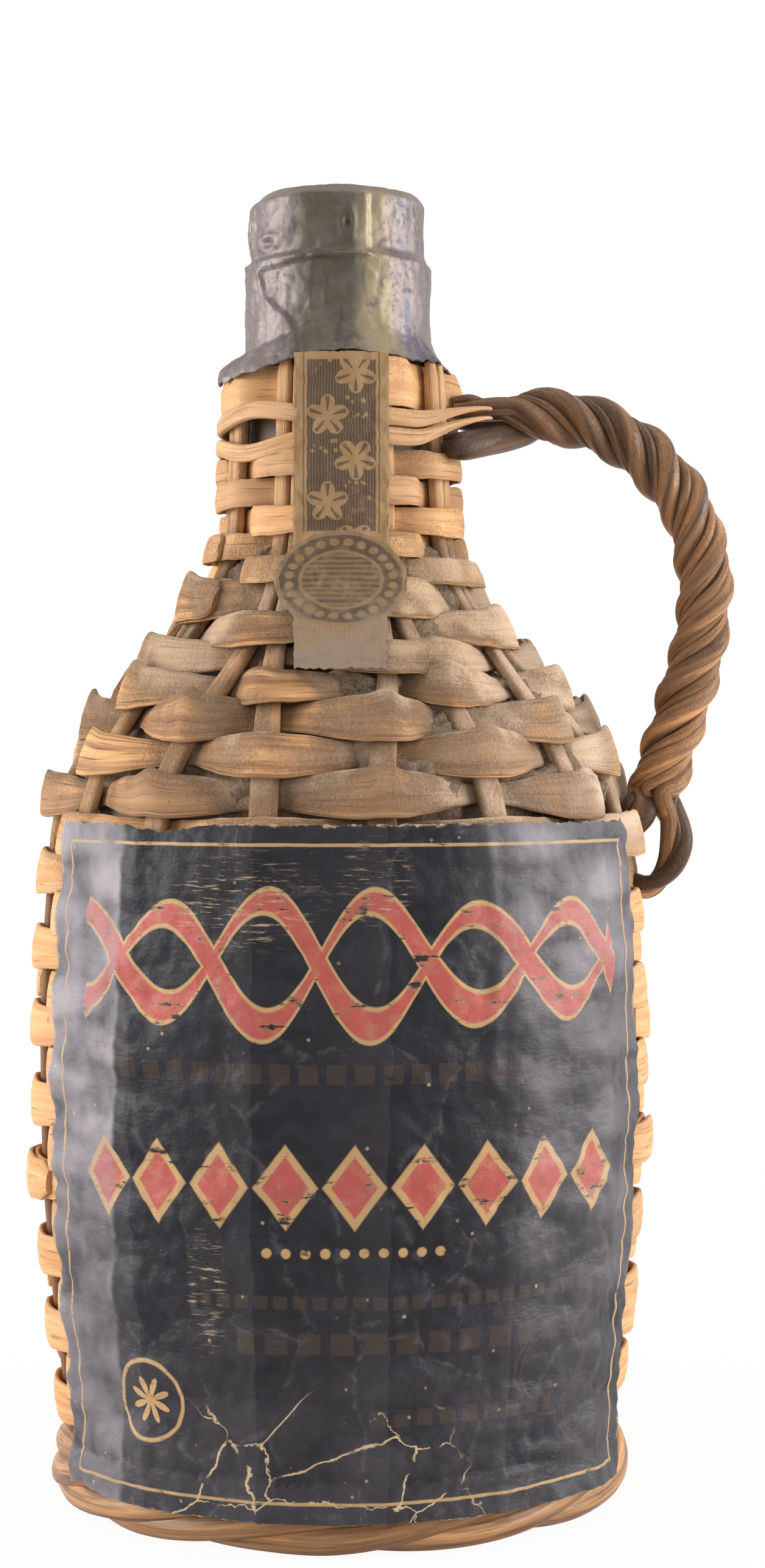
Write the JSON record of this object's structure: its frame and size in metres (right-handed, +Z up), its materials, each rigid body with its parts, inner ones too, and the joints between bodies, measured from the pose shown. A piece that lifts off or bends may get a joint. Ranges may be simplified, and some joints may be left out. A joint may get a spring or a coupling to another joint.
{
  "type": "wicker-covered bottle",
  "caption": "Squat glass bottle in a woven wicker jacket with a twisted cane handle, paper label, neck seal and a foil-capped stopper that lifts out.",
  "frame": {"origin": "middle of the base, on the surface that the bottle stands on", "axes": "+Z up along the bottle's axis, the label faces -Y and the handle stands on +X"},
  "size_m": [0.1212, 0.1068, 0.2212],
  "materials": {
    "glass": "dark polished",
    "stopper_wood": "turned, dark",
    "cork": "raw cork",
    "foil": "dull crumpled foil",
    "splint": "aged flat splint",
    "rod": "aged split rod",
    "foot_rod": "aged round rod",
    "cane": "dark worn cane",
    "label_paper": "worn dark paper",
    "seal_paper": "aged tan paper"
  },
  "bodies": {
    "bottle": {"glass_bottle": "glass", "base_mat": "splint", "lower_foot_rod": "foot_rod", "upper_foot_rod": "foot_rod", "stake_01": "rod", "stake_02": "rod", "stake_03": "rod", "stake_04": "rod", "stake_05": "rod", "stake_06": "rod", "stake_07": "rod", "stake_08": "rod", "stake_09": "rod", "stake_10": "rod", "stake_11": "rod", "stake_12": "rod", "stake_13": "rod", "stake_14": "rod", "stake_15": "rod", "stake_16": "rod", "body_strip_01": "splint", "body_strip_02": "splint", "body_strip_03": "splint", "body_strip_04": "splint", "body_strip_05": "splint", "body_strip_06": "splint", "body_strip_07": "splint", "body_strip_08": "splint", "body_strip_09": "splint", "body_strip_10": "splint", "body_strip_11": "splint", "body_strip_12": "splint", "body_strip_13": "splint", "body_strip_14": "splint", "body_strip_15": "splint", "body_strip_16": "splint", "shoulder_strip_1": "splint", "shoulder_strip_2": "splint", "shoulder_strip_3": "splint", "shoulder_strip_4": "splint", "shoulder_strip_5": "splint", "shoulder_strip_6": "splint", "shoulder_strip_7": "splint", "neck_strip_1": "splint", "neck_strip_2": "splint", "neck_strip_3": "splint", "neck_strip_4": "splint", "neck_strip_5": "splint", "neck_top_band": "splint", "lower_neck_wrap": "rod", "upper_neck_wrap": "rod", "handle_strand_1": "cane", "handle_strand_2": "cane", "handle_strand_3": "cane", "front_label": "label_paper", "neck_seal": "seal_paper"},
    "stopper": {"stopper_head": "stopper_wood", "stopper_cork": "cork"},
    "capsule": {"capsule": "foil"}
  },
  "joints": [
    {"name": "stopper_pull", "type": "slide", "parent": "bottle", "child": "stopper", "axis": [0, 0, 1], "range_m": [0, 0.035]},
    {"name": "capsule_lift", "type": "slide", "parent": "stopper", "child": "capsule", "axis": [0, 0, 1], "range_m": [0, 0.04]}
  ]
}
